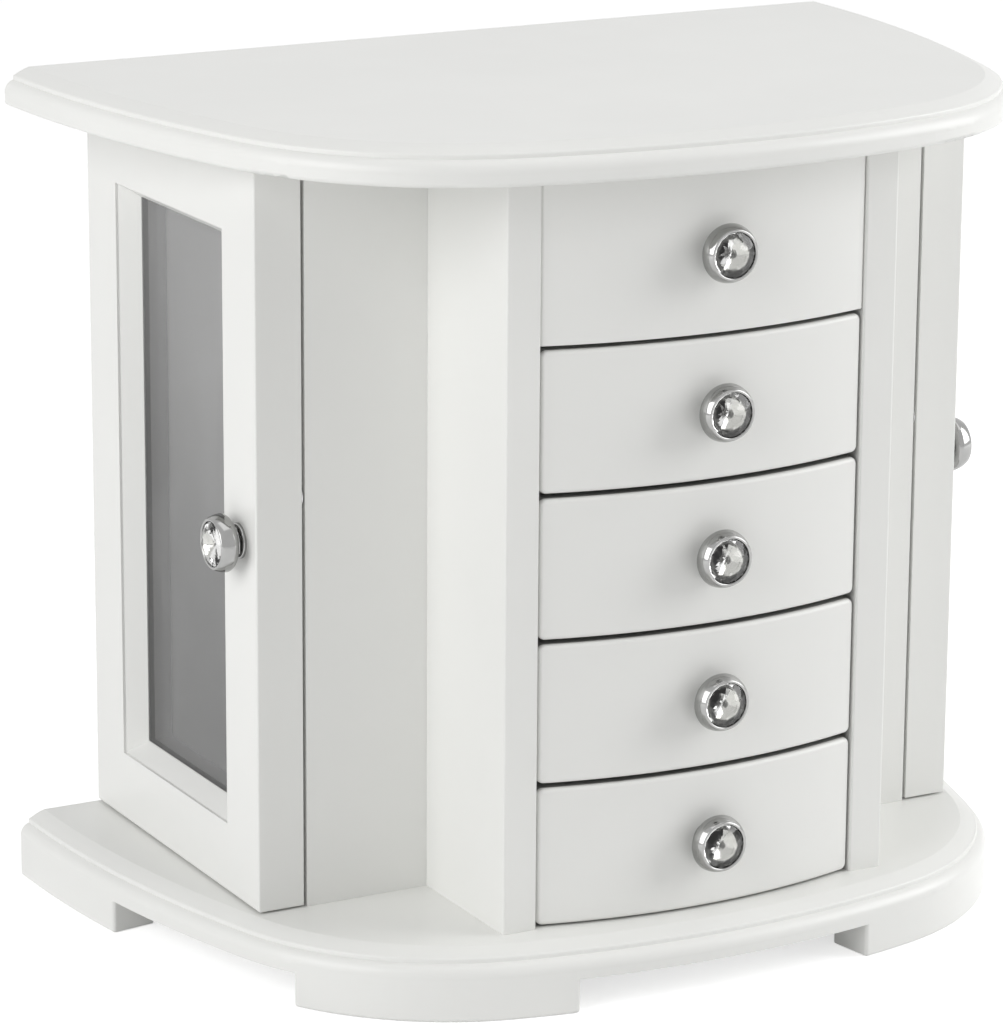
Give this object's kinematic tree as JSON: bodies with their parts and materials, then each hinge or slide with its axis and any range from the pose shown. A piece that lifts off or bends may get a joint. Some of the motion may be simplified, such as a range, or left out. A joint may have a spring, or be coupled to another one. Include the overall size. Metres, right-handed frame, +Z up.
{
  "type": "jewellery box with mirror",
  "caption": "White wooden jewellery box with a curved front: hinged lid with a mirror under it, glazed side doors, bow-fronted drawers, a ring tray and crystal knobs.",
  "frame": {"origin": "on the floor under the middle of the overall width and depth", "axes": "+X to the right seen from the front, +Y to the back, +Z up"},
  "size_m": [0.3084, 0.2011, 0.2687],
  "materials": {
    "white_paint": "wood painted satin white",
    "inner_paint": "wood painted matt white",
    "velvet": "grey velvet over foam or board",
    "chrome": "bright plated",
    "crystal": "clear, cut",
    "plated_steel": "nickel plated",
    "pane": "clear",
    "mirror": "silvered",
    "seal": "soft, dark grey",
    "bumper": "soft, clear white"
  },
  "bodies": {
    "case": {"base_board": "white_paint", "back_feet": "white_paint", "front_feet": "white_paint", "back_panel": "white_paint", "block_side_left": "white_paint", "block_side_right": "white_paint", "recess_wall_left": "white_paint", "recess_wall_right": "white_paint", "corner_posts": "white_paint", "side_caps": "white_paint", "false_front": "white_paint", "drawer_shelves": "inner_paint", "tray_floor": "inner_paint", "tray_dividers": "inner_paint", "tray_liners": "velvet", "ring_rolls": "velvet", "side_liners": "velvet", "necklace_hooks": "plated_steel", "door_magnets": "plated_steel", "case_hinge_leaves": "plated_steel", "lid_bumpers": "bumper", "false_front_knob": "chrome", "false_front_crystal": "crystal"},
    "lid": {"lid_board": "white_paint", "mirror": "mirror", "mirror_frame": "white_paint", "lid_hinge_leaves": "plated_steel"},
    "door_left": {"door_frame_left": "white_paint", "door_glass_left": "pane", "glass_bead_left": "seal", "door_knob_left": "chrome", "door_crystal_left": "crystal", "door_fittings_left": "plated_steel"},
    "door_right": {"door_frame_right": "white_paint", "door_glass_right": "pane", "glass_bead_right": "seal", "door_knob_right": "chrome", "door_crystal_right": "crystal", "door_fittings_right": "plated_steel"},
    "drawer_1": {"drawer_front_1": "white_paint", "drawer_box_1": "inner_paint", "drawer_liner_1": "velvet", "drawer_knob_1": "chrome", "drawer_crystal_1": "crystal"},
    "drawer_2": {"drawer_front_2": "white_paint", "drawer_box_2": "inner_paint", "drawer_liner_2": "velvet", "drawer_knob_2": "chrome", "drawer_crystal_2": "crystal"},
    "drawer_3": {"drawer_front_3": "white_paint", "drawer_box_3": "inner_paint", "drawer_liner_3": "velvet", "drawer_knob_3": "chrome", "drawer_crystal_3": "crystal"},
    "drawer_4": {"drawer_front_4": "white_paint", "drawer_box_4": "inner_paint", "drawer_liner_4": "velvet", "drawer_knob_4": "chrome", "drawer_crystal_4": "crystal"}
  },
  "joints": [
    {"name": "lid_hinge", "type": "hinge", "parent": "case", "child": "lid", "pos_m": [0, 0.09865, 0.25655], "axis": [-1, 0, 0], "range_deg": [0, 100]},
    {"name": "door_hinge_left", "type": "hinge", "parent": "case", "child": "door_left", "pos_m": [-0.1104, 0.09865, 0.14], "axis": [0, 0, -1], "range_deg": [0, 120]},
    {"name": "door_hinge_right", "type": "hinge", "parent": "case", "child": "door_right", "pos_m": [0.1104, 0.09865, 0.14], "axis": [0, 0, 1], "range_deg": [0, 120]},
    {"name": "drawer_slide_1", "type": "slide", "parent": "case", "child": "drawer_1", "axis": [0, -1, 0], "range_m": [0, 0.125]},
    {"name": "drawer_slide_2", "type": "slide", "parent": "case", "child": "drawer_2", "axis": [0, -1, 0], "range_m": [0, 0.125]},
    {"name": "drawer_slide_3", "type": "slide", "parent": "case", "child": "drawer_3", "axis": [0, -1, 0], "range_m": [0, 0.125]},
    {"name": "drawer_slide_4", "type": "slide", "parent": "case", "child": "drawer_4", "axis": [0, -1, 0], "range_m": [0, 0.125]}
  ]
}
